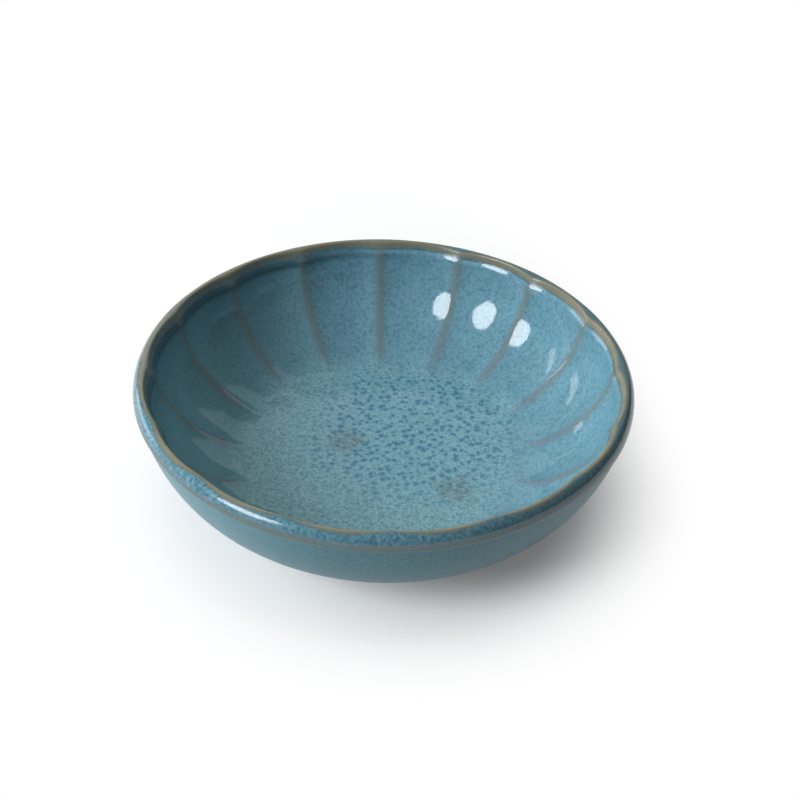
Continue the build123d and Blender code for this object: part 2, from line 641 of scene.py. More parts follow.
class FlutedTurning(Graph):
    """Geometry Nodes tree that turns a section about the axis and scoops its flutes."""

    INPUTS = (
        ("Section", "NodeSocketGeometry"),
        ("Rows", "NodeSocketInt"),
        ("Columns", "NodeSocketInt"),
        ("Flutes", "NodeSocketInt"),
        ("Valley Radius", "NodeSocketFloat"),
        ("Flute Depth", "NodeSocketFloat"),
        ("Scoop Radius", "NodeSocketFloat"),
        ("Ridge Softness", "NodeSocketFloat"),
        ("Wobble", "NodeSocketFloat"),
        ("Wobble Scale", "NodeSocketFloat"),
        ("Still Height", "NodeSocketFloat"),
        ("Material", "NodeSocketMaterial"),
    )
    RIDGE_ATTRIBUTE = "ridge_point"
    # Metres within which points merge, share by which columns crowd towards the ridges, noise value that leaves
    # the surface where it is, and multiple of the still height from which on the wobble is full
    MERGE = 2e-6
    CROWDING = 0.5
    PROUDEST = 0.65
    FULL_WOBBLE = 3

    def __init__(self) -> None:
        """Builds the tree once; each piece sets its own inputs."""
        super().__init__(bpy.data.node_groups.new("fluted_turning", "GeometryNodeTree"))
        self.tree.is_modifier = True
        for name, kind in self.INPUTS:
            self.tree.interface.new_socket(name, in_out="INPUT", socket_type=kind)
        self.tree.interface.new_socket("Mesh", in_out="OUTPUT", socket_type="NodeSocketGeometry")
        self.given = self.node("NodeGroupInput")
        self._build()

    def _turn(self, across: Socket, half: Socket) -> Socket:
        """Gives the angle from a flute's middle by the place from -1 to 1, crowded towards the ridges."""
        bent = self.math("SINE", across * (math.pi / 2))
        return half * (across * (1 - self.CROWDING) + bent * self.CROWDING)

    def _ridge_share(self, turn: Socket, half: Socket) -> Socket:
        """Says how far a place lies from the valley's line to the ridge's.

        Args:
            turn: Angle from the flute's middle.
            half: Half the angle between two ridges.

        Returns:
            0 in the valley, nearly 1 on the softened ridge.
        """
        valley, scoop = self.given.out("Valley Radius"), self.given.out("Scoop Radius")
        soft = self.given.out("Ridge Softness") / valley
        gap = half - abs(turn)
        eased = gap * gap / (soft * 2) + soft / 2
        near = self.math("LESS_THAN", gap, soft)
        bent = half - (gap + near * (eased - gap))
        across = scoop * self.math("SINE", bent)
        round_part = (valley - scoop) * (valley - scoop) - across * across
        radius = scoop * self.math("COSINE", bent) + self.math("SQRT", round_part)
        return (valley - radius) / self.given.out("Flute Depth")

    def _sampled(self, value: Socket, row: Socket) -> Socket:
        """Reads a vector of the section's points at one row."""
        inputs = {"Geometry": self.given.out("Section"), "Value": value, "Index": row}
        return self.node("GeometryNodeSampleIndex", {"data_type": "FLOAT_VECTOR", "domain": "POINT"}, inputs)

    def _flute(self, half: Socket) -> Socket:
        """Makes the share of one flute about the X axis.

        Args:
            half: Half the angle between two ridges.

        Returns:
            Its mesh.
        """
        rows, columns = self.given.out("Rows"), self.given.out("Columns") + 1
        grid = self.node(
            "GeometryNodeMeshGrid",
            inputs={"Size X": 2.0, "Size Y": 2.0, "Vertices X": rows, "Vertices Y": columns},
        )
        position = self.node("GeometryNodeInputPosition")
        along, across, _ = self.split(position)
        row = self.math("ROUND", (along + 1) / 2 * (rows - 1))
        turn = self._turn(across, half)
        stored = self.node(
            "GeometryNodeInputNamedAttribute", {"data_type": "FLOAT_VECTOR"}, {"Name": self.RIDGE_ATTRIBUTE}
        )
        sides = {4: self._sampled(position, row), 5: self._sampled(stored, row)}
        lerp = self.node(
            "ShaderNodeMix",
            {"data_type": "VECTOR", "factor_mode": "UNIFORM", "clamp_factor": False},
            {0: self._ridge_share(turn, half), **sides},
        )
        radius, _, height = self.split(lerp.out(1))
        place = self.join(radius * self.math("COSINE", turn), radius * self.math("SINE", turn), height)
        return self.node("GeometryNodeSetPosition", inputs={"Geometry": grid.out("Mesh"), "Position": place})

    def _wobbled(self, mesh: Socket) -> Socket:
        """Moves the surface in and out a little, as a hand-finished one is.

        Args:
            mesh: The whole mesh.

        Returns:
            The moved mesh.
        """
        position = self.node("GeometryNodeInputPosition")
        x, y, z = self.split(position)
        still = self.given.out("Still Height")
        swell = self.noise(position, Grain(self.given.out("Wobble Scale"))) - self.PROUDEST
        rise = self.smooth(z, still, still * self.FULL_WOBBLE)
        amount = swell * rise * self.given.out("Wobble") / (self.length(x, y) + MM)
        offset = self.join(x * amount, y * amount, 0.0)
        return self.node("GeometryNodeSetPosition", inputs={"Geometry": mesh, "Offset": offset})

    def _build(self) -> None:
        """Adds the nodes: one flute, its copies round the axis, and the finished mesh."""
        flutes = self.given.out("Flutes")
        half = math.pi / flutes
        points = self.node("GeometryNodePoints", inputs={"Count": flutes})
        middle = (self.node("GeometryNodeInputIndex") * 2 + 1) * half
        turned = self.node("FunctionNodeEulerToRotation", inputs={0: self.join(0.0, 0.0, middle)})
        ring = self.node(
            "GeometryNodeInstanceOnPoints",
            inputs={"Points": points, "Instance": self._flute(half), "Rotation": turned},
        )
        real = self.node("GeometryNodeRealizeInstances", inputs={"Geometry": ring})
        merged = self.node("GeometryNodeMergeByDistance", inputs={"Geometry": real, "Distance": self.MERGE})
        finished = self.node(
            "GeometryNodeSetMaterial",
            inputs={"Geometry": self._wobbled(merged), "Material": self.given.out("Material")},
        )
        self.node("NodeGroupOutput", inputs={"Mesh": finished})

    def dress(self, piece: bpy.types.Object, values: Mapping[str, object]) -> None:
        """Puts the tree on a piece and turns the result into its plain mesh.

        Args:
            piece: Object whose mesh is the section.
            values: Value of each named input.
        """
        modifier = piece.modifiers.new("turning", "NODES")
        modifier.node_group = self.tree
        for item in self.tree.interface.items_tree:
            if item.in_out == "INPUT" and item.name in values:
                modifier[item.identifier] = values[item.name]
        bpy.context.view_layer.update()
        depsgraph = bpy.context.evaluated_depsgraph_get()
        mesh = bpy.data.meshes.new_from_object(piece.evaluated_get(depsgraph), depsgraph=depsgraph)
        piece.modifiers.remove(modifier)
        section = piece.data
        piece.data = mesh
        mesh.name = piece.name
        bpy.data.meshes.remove(section)


@dataclass
class Piece:
    """One piece of the dish: its section, the CAD node that it stands for and its material slot."""

    name: str
    node: str
    slot: str
    section: Section
    columns: int = 28
    wobble: float = 0.25
    wobble_scale: float = 55.0
    sharp_angle: float = 38.0
    sliver: float = 1e-7

    def build(self, turning: FlutedTurning, material: bpy.types.Material) -> bpy.types.Object:
        """Makes the piece's mesh and puts it on the frame.

        Args:
            turning: Tree that turns the section.
            material: Finish of the piece.

        Returns:
            The finished object.
        """
        s = self.section.sizes
        count = len(self.section.valley)
        outline = bpy.data.meshes.new(self.name)
        points = [(r * MM, 0.0, z * MM) for r, z in self.section.valley]
        outline.from_pydata(points, [(n, n + 1) for n in range(count - 1)], [])
        stored = outline.attributes.new(FlutedTurning.RIDGE_ATTRIBUTE, "FLOAT_VECTOR", "POINT")
        for number, (r, z) in enumerate(self.section.ridge):
            stored.data[number].vector = (r * MM, 0.0, z * MM)
        piece = placed(self.name, outline)
        turning.dress(
            piece,
            {
                "Rows": count,
                "Columns": self.columns,
                "Flutes": s.flute_count,
                "Valley Radius": s.wall_top_radius * MM,
                "Flute Depth": s.flute_depth * MM,
                "Scoop Radius": s.scoop_radius * MM,
                "Ridge Softness": s.ridge_soft * MM,
                "Wobble": self.wobble * MM,
                "Wobble Scale": self.wobble_scale,
                "Still Height": s.foot_height * MM,
                "Material": material,
            },
        )
        self._finish_mesh(piece.data)
        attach(piece, BODY)
        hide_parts(self.node)
        LOG.info("%s: %d faces", self.name, len(piece.data.polygons))
        return piece

    def _finish_mesh(self, mesh: bpy.types.Mesh) -> None:
        """Closes the poles, turns the faces outwards and shades them.

        Args:
            mesh: Mesh to finish.
        """
        work = bmesh.new()
        work.from_mesh(mesh)
        bmesh.ops.dissolve_degenerate(work, dist=self.sliver, edges=work.edges)
        bmesh.ops.recalc_face_normals(work, faces=work.faces)
        work.to_mesh(mesh)
        work.free()
        mesh.polygons.foreach_set("use_smooth", [True] * len(mesh.polygons))
        mesh.set_sharp_from_angle(angle=math.radians(self.sharp_angle))


class DishPlace:
    """Where a point of the surface lies on the dish, in millimetres, from its Object coordinates."""

    def __init__(self, graph: Graph, sizes: DishSizes) -> None:
        """Adds the nodes that measure the place.

        Args:
            graph: Material's tree.
            sizes: Sizes of the dish.
        """
        self.point = graph.scaled(graph.node("ShaderNodeTexCoord").out("Object"), 1 / MM)
        self.x, self.y, self.height = graph.split(self.point)
        self.radius = graph.length(self.x, self.y)
        turn = graph.math("ARCTAN2", self.y, self.x) / sizes.pitch
        self.ridge_gap = graph.math("PINGPONG", turn, 0.5) * sizes.pitch * self.radius
        lip_turn = graph.math("ARCTAN2", self.height - sizes.lip_line, self.radius - sizes.lip_top_radius)
        around = sizes.rim_radius / self.radius
        self.lip_point = graph.join(self.x * around, self.y * around, lip_turn * sizes.lip_width)


class Glaze(Graph):
    """Tree of one of the dish's materials, which knows where it is on the dish."""

    def __init__(self, name: str, sizes: DishSizes) -> None:
        """Starts a material.

        Args:
            name: Name of the material.
            sizes: Sizes of the dish.
        """
        self.material = bpy.data.materials.new(name)
        super().__init__(emptied(self.material))
        self.sizes = sizes
        self.at = DishPlace(self, sizes)

    def blend(self, share: Operand, first: Shade, second: Shade) -> Socket:
        """Mixes two colours, of which a share of 0 gives the first and 1 the second."""
        a, b = (shade if isinstance(shade, Socket) else linear(shade) for shade in (first, second))
        return self.node("ShaderNodeMix", {"data_type": "RGBA"}, {0: share, 6: a, 7: b}).out(2)

    def stray(self, grain: Grain, reach: float = 1.0) -> Socket:
        """Gives a noise field over the dish, around zero."""
        return (self.noise(self.at.point, grain) - 0.5) * reach


class Measure(Enum):
    """What a fade over the dish goes by, in the words of DishPlace."""

    X = "x"
    Y = "y"
    HEIGHT = "height"
    RADIUS = "radius"
    RIDGE_GAP = "ridge_gap"


@dataclass(frozen=True)
class Fade:
    """A soft step over the dish, from 0 to its strength across a span of millimetres."""

    by: Measure
    span: Span
    strength: float = 1.0

    def share(self, glaze: Glaze, stray: Operand = 0.0) -> Socket:
        """Gives the step at each place, its edge made uneven by a stray field."""
        return glaze.smooth(getattr(glaze.at, self.by.value) + stray, *self.span) * self.strength


@dataclass(frozen=True)
class Mottle:
    """Patches of a noise field, from 0 to their strength across a span of its values."""

    grain: Grain
    span: Span
    strength: float = 1.0

    def share(self, glaze: Glaze, place: Socket | None = None) -> Socket:
        """Gives the patches, read over the dish or at a place of their own."""
        return glaze.smooth(glaze.noise(place or glaze.at.point, self.grain), *self.span) * self.strength


@dataclass(frozen=True)
class Veins:
    """Thin lines where a noise field passes its middle value."""

    grain: Grain
    width: float

    def share(self, glaze: Glaze, place: Socket) -> Socket:
        """Gives 1 on a line and 0 beside it."""
        return glaze.smooth(abs(glaze.noise(place, self.grain) - 0.5), self.width, 0.0)


@dataclass(frozen=True)
class CrestBreak:
    """Tan line along the crest of the rim, where the glaze ran off the clay."""

    tan: Colour = (134, 129, 108)
    grey: Colour = (124, 124, 116)
    olive: Colour = (86, 93, 84)
    grain: Grain = Grain(0.4, 3.0)
    reach: float = -0.2
    front: Fade = Fade(Measure.Y, (5.0, -30.0))
    front_reach: float = 0.6
    corner_reach: Fade = Fade(Measure.X, (-18.0, -40.0), 0.25)
    left_x: Fade = Fade(Measure.X, (-36.0, -51.0))
    left_y: Fade = Fade(Measure.Y, (-14.0, 2.0))
    left_stray: float = 8.0
    far_x: Fade = Fade(Measure.X, (15.0, -15.0))
    far_y: Fade = Fade(Measure.Y, (15.0, 40.0))
    left_reach: float = 1.7
    left_drop: float = 0.2
    right_drop: Fade = Fade(Measure.X, (30.0, 50.0), 0.3)
    inner_edge: Span = (0.0, 1.1)
    inner_stray: float = 0.9
    outer_edge: Span = (0.9, 0.0)
    outer_stray: float = 0.4
    dark_patches: Mottle = Mottle(Grain(0.15, 3.0), (0.35, 0.7), 0.45)
    dark_low: Span = (1.5, -0.3)
    low_strength: float = 0.6
    dark_out: Span = (-0.4, 0.5)
    out_strength: float = 0.8
    # Darker crest on the far side: partly olive glaze, partly painted shade of that shaded side
    dark_far: Fade = Fade(Measure.Y, (0.0, 40.0), 0.45)

    def left(self, glaze: Glaze, ragged: Socket) -> Socket:
        """Gives 1 on the left of the rim, where the glaze ran off it most, and 0 elsewhere."""
        stray = ragged * self.left_stray
        return self.left_x.share(glaze, stray) * self.left_y.share(glaze, stray)

    def edge(self, glaze: Glaze, left: Socket) -> Socket:
        """Gives the radius to which the glaze is thin on the lip.

        Args:
            glaze: Material's tree.
            left: 1 on the left of the rim, 0 elsewhere.

        Returns:
            Radius, larger at the front and most of all on the left and far away, smaller beside a ridge.
        """
        at, s = glaze.at, glaze.sizes
        across = 1 - glaze.math("MINIMUM", at.ridge_gap / (s.lip_top_radius * s.pitch / 2), 1.0)
        far = self.far_y.share(glaze) * self.far_x.share(glaze)
        reach = self.reach + self.front.share(glaze) * (self.front_reach + self.corner_reach.share(glaze))
        reach = reach + glaze.most(left, far) * self.left_reach
        return s.lip_top_radius + reach - across * across * s.flute_depth

    def share(self, glaze: Glaze) -> Socket:
        """Says how thin the glaze is near the crest.

        Args:
            glaze: Material's tree.

        Returns:
            1 on the bare crest, 0 where the coat is whole.
        """
        at, ragged = glaze.at, glaze.stray(self.grain)
        left = self.left(glaze, ragged)
        low = glaze.sizes.crest_glaze_line - left * self.left_drop - self.right_drop.share(glaze)
        inside = glaze.smooth(at.height + ragged * self.inner_stray - low, *self.inner_edge)
        beyond = at.radius + ragged * self.outer_stray - self.edge(glaze, left)
        return inside * glaze.smooth(beyond, *self.outer_edge)

    def colour(self, glaze: Glaze) -> Socket:
        """Mixes the colour of the bare crest, darker towards both of its edges and on the far side, where the
        darkening is partly painted shade.

        Args:
            glaze: Material's tree.

        Returns:
            The colour.
        """
        at, ragged = glaze.at, glaze.stray(self.grain)
        left = self.left(glaze, ragged)
        low = glaze.smooth(at.height + ragged - glaze.sizes.crest_glaze_line, *self.dark_low)
        out = glaze.smooth(at.radius - self.edge(glaze, left), *self.dark_out)
        edges = glaze.most(low * self.low_strength, out * self.out_strength)
        # The far-side darkening is partly painted shade
        shade = glaze.most(self.dark_patches.share(glaze), edges, self.dark_far.share(glaze))
        return glaze.blend(shade, glaze.blend(left, self.tan, self.grey), self.olive)

    def lay(self, glaze: Glaze, coat: Socket) -> Socket:
        """Lays the line over a coat's colour."""
        return glaze.blend(self.share(glaze), coat, self.colour(glaze))


@dataclass(frozen=True)
class RidgeBreak:
    """Brown line along each ridge, which runs out above the floor."""

    upper: Colour = (104, 110, 104)
    lower: Colour = (104, 110, 118)
    grain: Grain = Grain(0.45, 3.0)
    line: Fade = Fade(Measure.RIDGE_GAP, (2.2, 0.1), 0.62)
    line_stray: float = 0.8
    foot: Fade = Fade(Measure.HEIGHT, (6.2, 8.6))
    foot_stray: float = 3.0
    lower_part: Fade = Fade(Measure.HEIGHT, (15.0, 8.0))

    def lay(self, glaze: Glaze, coat: Socket) -> Socket:
        """Lays the line over a coat's colour.

        Args:
            glaze: Material's tree.
            coat: The coat's colour.

        Returns:
            The colour with the line.
        """
        ragged = glaze.stray(self.grain)
        line = self.line.share(glaze, ragged * self.line_stray)
        line = line * self.foot.share(glaze, ragged * self.foot_stray)
        return glaze.blend(line, coat, glaze.blend(self.lower_part.share(glaze), self.upper, self.lower))


@dataclass(frozen=True)
class LipBreak:
    """Brown line along the lip's outermost edge, softer below than above."""

    brown: Colour = (86, 94, 86)
    grain: Grain = Grain(0.3, 3.0)
    stray: float = 0.9
    line: Span = (1.1, 0.05)
    softer_below: float = 0.55
    depth: Span = (1.6, 1.0)
    whole: Mottle = Mottle(Grain(0.08), (0.3, 0.6))
    strength: Span = (0.5, 0.85)
    right: Fade = Fade(Measure.X, (0.0, 36.0), 0.5)

    def lay(self, glaze: Glaze, coat: Socket) -> Socket:
        """Lays the line over a coat's colour.

        Args:
            glaze: Material's tree.
            coat: The coat's colour.

        Returns:
            The colour with the line.
        """
        at, s = glaze.at, glaze.sizes
        middle = (s.lip_line_low + s.lip_line_high) / 2
        rise = at.height - middle + glaze.stray(self.grain, self.stray)
        line = glaze.smooth(glaze.most(rise, rise * -self.softer_below), *self.line)
        line = line * glaze.smooth(s.rim_radius - at.radius, *self.depth)
        line = line * ease(self.strength, self.whole.share(glaze)) * (1 - self.right.share(glaze))
        return glaze.blend(line, coat, self.brown)


@dataclass(frozen=True)
class Breaks:
    """The lines where the glaze runs thin and the clay shows through it."""

    crest: CrestBreak = CrestBreak()
    ridge: RidgeBreak = RidgeBreak()
    lip: LipBreak = LipBreak()


@dataclass(frozen=True)
class Finish:
    """What all finishes have: a name, roughness, shine, relief in millimetres and lines where they break."""

    name: str = "finish"
    roughness: float = 0.1
    shine: float = 0.5
    peel: Grain = Grain(0.8, 3.0)
    relief: float = 0.02
    refraction: float = 1.52
    breaks: Breaks = Breaks()

    def colour(self, glaze: Glaze) -> Socket:
        """Mixes the colour; each finish has its own."""
        raise NotImplementedError(self.name)

    def rough(self, glaze: Glaze) -> Operand:
        """Gives the roughness, the same everywhere unless a finish says otherwise."""
        return self.roughness

    def uneven(self, glaze: Glaze) -> Socket:
        """Gives the height field of the relief, from 0 to 1."""
        return glaze.noise(glaze.at.point, self.peel)

    def make(self, sizes: DishSizes) -> bpy.types.Material:
        """Makes the material.

        Args:
            sizes: Sizes of the dish.

        Returns:
            The material.
        """
        glaze = Glaze(self.name, sizes)
        bump = glaze.node(
            "ShaderNodeBump",
            inputs={"Strength": 1.0, "Distance": self.relief * MM, "Height": self.uneven(glaze)},
        )
        shader = glaze.node(
            "ShaderNodeBsdfPrincipled",
            inputs={
                "Base Color": self.colour(glaze),
                "Roughness": self.rough(glaze),
                "IOR": self.refraction,
                "Specular IOR Level": self.shine,
                "Normal": bump,
            },
        )
        glaze.node("ShaderNodeOutputMaterial", inputs={"Surface": shader})
        return glaze.material


@dataclass(frozen=True)
class Spots:
    """Spots scattered over the floor, each of its own size within a range, with soft and uneven edges."""

    spacing: float
    size: float
    sizes: Span
    stray: float
    soft_out: float
    soft_in: float
    stretch: float = 1.0

    def share(self, glaze: Glaze, edge: Socket, grown: Operand = 1.0) -> Socket:
        """Says where the spots lie.

        Args:
            glaze: Material's tree.
            edge: Field that makes their edges uneven.
            grown: Share of its size to which a spot has grown.

        Returns:
            1 in a spot, 0 between the spots.
        """
        gap, chance = glaze.cells(glaze.scaled(glaze.at.point, self.stretch), self.spacing)
        size = self.size * ease(self.sizes, chance) * grown
        return glaze.smooth(gap + edge * self.stray, size + self.soft_out, size - self.soft_in)


@dataclass(frozen=True)
class ThinNet:
    """Small patches of the floor, by place and reach, where the glaze is thin along a net of fine lines."""

    patches: tuple[tuple[float, float, float], ...] = ((-8.4, 2.9, 6.0), (16.2, -14.4, 6.5))
    lines: Veins = Veins(Grain(1.1, 4.0, 0.65), 0.11)
    grain: Grain = Grain(0.3)
    stray: float = 8.0
    core: float = 0.2
    strength: float = 0.7

    def share(self, glaze: Glaze) -> Socket:
        """Says where the glaze is thin.

        Args:
            glaze: Material's tree.

        Returns:
            Up to its strength on a line, 0 outside the patches.
        """
        at, stray = glaze.at, glaze.stray(self.grain, self.stray)
        share: Operand = 0.0
        for x, y, reach in self.patches:
            away = glaze.length(at.x - x, at.y - y) + stray
            share = share + glaze.smooth(away, reach, reach * self.core)
        return self.lines.share(glaze, at.point) * share * self.strength


@dataclass(frozen=True)
class InsideFinish(Finish):
    """Glaze inside: speckled walls, blotched floor, brown ridges and a tan edge under the crest."""

    name: str = "inside_glaze"
    roughness: float = 0.08
    crest_roughness: float = 0.18
    peel: Grain = Grain(0.8)
    swell: Grain = Grain(0.14, 1.0)
    swell_share: float = 0.92
    relief: float = 0.22
    wall: Colour = (105, 148, 163)
    wall_dark: Colour = (62, 101, 118)
    # Painted shade: the darker, greener colour of the wall inside on its left, shaded side
    wall_left: Colour = (90, 130, 138)
    # Painted shade: a dark band on the wall just under the crest, on the left and far side
    pool: Colour = (50, 78, 86)
    floor: Colour = (126, 167, 175)
    floor_dark: Colour = (82, 125, 139)
    haze: Colour = (98, 142, 161)
    blotch: Colour = (46, 104, 134)
    thin: Colour = (92, 98, 94)
    grain: Mottle = Mottle(Grain(1.2, 3.0, 0.7), (0.38, 0.7))
    wall_grain: float = 0.5
    floor_grain: float = 0.6
    flecks: Mottle = Mottle(Grain(0.75, 3.0, 0.6), (0.53, 0.68), 0.2)
    clouds: Mottle = Mottle(Grain(0.11, 3.0), (0.35, 0.75), 0.2)
    # Share of the painted shade on the left wall
    left: Fade = Fade(Measure.X, (-12.0, -42.0), 0.55)
    pool_rise: Fade = Fade(Measure.HEIGHT, (25.0, 26.8), 0.85)
    pool_left: Fade = Fade(Measure.X, (15.0, -30.0))
    drift: Grain = Grain(0.05)
    on_floor: Fade = Fade(Measure.RADIUS, (38.0, 29.0))
    floor_drift: float = 10.0
    middle_x: float = 8.5
    middle_y: float = 6.5
    middle_span: Span = (37.0, 15.0)
    middle_drift: float = 14.0
    middle_haze: float = 0.3
    spot_edge: Grain = Grain(0.8, 3.0, 0.6)
    blotches: Spots = Spots(1.9, 0.62, (0.35, 1.2), 2.1, 0.38, 0.3)
    blotch_growth: Span = (0.4, 1.0)
    blotch_strength: Span = (0.3, 0.85)
    specks: Spots = Spots(0.95, 0.24, (0.3, 1.4), 0.8, 0.2, 0.16, 1.07)
    speck_strength: float = 0.5
    net: ThinNet = ThinNet()

    def colour(self, glaze: Glaze) -> Socket:
        """Mixes the coat's colour.

        Args:
            glaze: Material's tree.

        Returns:
            The colour.
        """
        grain = self.grain.share(glaze)
        dark = grain * self.wall_grain + self.flecks.share(glaze) + self.clouds.share(glaze)
        wall = glaze.blend(dark, self.wall, self.wall_dark)
        # Painted shade: darker, greener wall on the shaded left side
        wall = glaze.blend(self.left.share(glaze), wall, self.wall_left)
        # Painted shade under the crest on the left and far side, where the wall is in shade
        wall = glaze.blend(self.pool_rise.share(glaze) * self.pool_left.share(glaze), wall, self.pool)
        drift = glaze.stray(self.drift)
        middle = self.middle(glaze, drift)
        floor = glaze.blend(grain * self.floor_grain, self.floor, self.floor_dark)
        floor = glaze.blend(middle * self.middle_haze, floor, self.haze)
        floor = glaze.blend(self.spots(glaze, middle), floor, self.blotch)
        floor = glaze.blend(self.net.share(glaze), floor, self.thin)
        coat = glaze.blend(self.on_floor.share(glaze, drift * self.floor_drift), wall, floor)
        return self.breaks.crest.lay(glaze, self.breaks.ridge.lay(glaze, coat))

    def middle(self, glaze: Glaze, drift: Socket) -> Socket:
        """Gives 1 in the spotted middle of the floor and 0 at the walls, its edge bent by a slow field."""
        reach = glaze.length(glaze.at.x - self.middle_x, glaze.at.y - self.middle_y)
        return glaze.smooth(reach + drift * self.middle_drift, *self.middle_span)

    def spots(self, glaze: Glaze, middle: Socket) -> Socket:
        """Says where the blue spots of the floor lie, large in the middle and small round it.

        Args:
            glaze: Material's tree.
            middle: How far the place belongs to the middle of the floor.

        Returns:
            1 in a spot, 0 between the spots.
        """
        edge = glaze.stray(self.spot_edge)
        large = self.blotches.share(glaze, edge, ease(self.blotch_growth, middle))
        large = large * ease(self.blotch_strength, middle)
        return glaze.most(large, self.specks.share(glaze, edge) * self.speck_strength)

    def rough(self, glaze: Glaze) -> Operand:
        """Gives the roughness, higher on the bare crest."""
        return ease((self.roughness, self.crest_roughness), self.breaks.crest.share(glaze))

    def uneven(self, glaze: Glaze) -> Socket:
        """Gives the height field of the relief: slow swells with a little peel."""
        swell = glaze.noise(glaze.at.point, self.swell) * self.swell_share
        return swell + super().uneven(glaze) * (1 - self.swell_share)


@dataclass(frozen=True)
class LipFinish(Finish):
    """Thick glaze on the lip: light veins round darker blue cells."""

    name: str = "lip_glaze"
    roughness: float = 0.14
    blue: Colour = (86, 126, 139)
    deep: Colour = (44, 84, 104)
    vein: Colour = (112, 150, 160)
    # Painted shade, partly a thinner glaze: the lip darker and greyer on its right, the side away from the
    # light
    lee: Colour = (64, 82, 82)
    dashes: Mottle = Mottle(Grain(1.5, 3.0, 0.6), (0.36, 0.66), 0.85)
    veins: Veins = Veins(Grain(1.1, distortion=0.4), 0.09)
    vein_strength: Span = (0.15, 0.65)
    left: Fade = Fade(Measure.X, (-10.0, -42.0))
    low: Fade = Fade(Measure.HEIGHT, (29.4, 27.8), 0.35)
    right: Fade = Fade(Measure.X, (0.0, 38.0), 0.55)

    def colour(self, glaze: Glaze) -> Socket:
        """Mixes the coat's colour.

        Args:
            glaze: Material's tree.

        Returns:
            The colour.
        """
        place = glaze.at.lip_point
        coat = glaze.blend(self.dashes.share(glaze, place), self.blue, self.deep)
        veins = self.veins.share(glaze, place) * ease(self.vein_strength, self.left.share(glaze))
        coat = glaze.blend(veins, coat, self.vein)
        coat = glaze.blend(self.low.share(glaze), coat, self.deep)
        # Darker, greyer lip on the right: painted shade, partly a thinner glaze
        coat = glaze.blend(self.right.share(glaze), coat, self.lee)
        return self.breaks.crest.lay(glaze, self.breaks.lip.lay(glaze, coat))


@dataclass(frozen=True)
class OutsideFinish(Finish):
    """Plain glaze outside and under the base, faintly speckled, with painted shade low down at the foot on the
    right.
    """

    name: str = "outside_glaze"
    roughness: float = 0.38
    shine: float = 0.2
    peel: Grain = Grain(0.7, 3.0)
    relief: float = 0.025
    body: Colour = (73, 113, 123)
    dark: Colour = (52, 88, 98)
    # Painted light: the lighter colour of the wall outside on its left, the side the light falls on
    thin: Colour = (92, 136, 148)
    # Painted shade: the dark lower wall beside the shadow on the table, at the foot on the right
    pool: Colour = (38, 62, 66)
    grain: Grain = Grain(1.6, 3.0, 0.7)
    speckle: Span = (0.36, 0.7)
    speckle_strength: float = 0.75
    left: Fade = Fade(Measure.X, (-5.0, -42.0), 0.45)
    pool_drop: Fade = Fade(Measure.HEIGHT, (11.5, 7.0), 0.6)
    pool_right: Fade = Fade(Measure.X, (-20.0, 20.0))

    def colour(self, glaze: Glaze) -> Socket:
        """Mixes the coat's colour.

        Args:
            glaze: Material's tree.

        Returns:
            The colour.
        """
        grain = glaze.noise(glaze.at.point, self.grain)
        speckle = glaze.smooth(grain, *self.speckle) * self.speckle_strength
        coat = glaze.blend(speckle, self.body, self.dark)
        # Painted light: lighter on the left, the side the light falls on
        coat = glaze.blend(self.left.share(glaze), coat, self.thin)
        # Painted shade, darker towards the foot on the right side, where the table lies in shadow
        pool = self.pool_drop.share(glaze, grain) * self.pool_right.share(glaze)
        return self.breaks.lip.lay(glaze, glaze.blend(pool, coat, self.pool))


@dataclass(frozen=True)
class ClayFinish(Finish):
    """Fired clay: bare and matt on the foot, under a trace of the lip's glaze along the crest and the lip."""

    name: str = "fired_clay"
    roughness: float = 0.75
    traced_roughness: float = 0.22
    peel: Grain = Grain(2.5, 4.0, 0.65)
    relief: float = 0.03
    buff: Colour = (176, 154, 122)
    dark: Colour = (142, 118, 88)
    speckle: Mottle = Mottle(Grain(2.5, 4.0, 0.65), (0.4, 0.7))
    traced: Fade = Fade(Measure.HEIGHT, (8.0, 12.0))
    trace: LipFinish = LipFinish()

    def colour(self, glaze: Glaze) -> Socket:
        """Mixes the clay's colour, covered by the trace of glaze high up."""
        bare = glaze.blend(self.speckle.share(glaze), self.buff, self.dark)
        return glaze.blend(self.traced.share(glaze), bare, self.trace.colour(glaze))

    def rough(self, glaze: Glaze) -> Operand:
        """Gives the roughness, lower under the trace of glaze."""
        return ease((self.roughness, self.traced_roughness), self.traced.share(glaze))


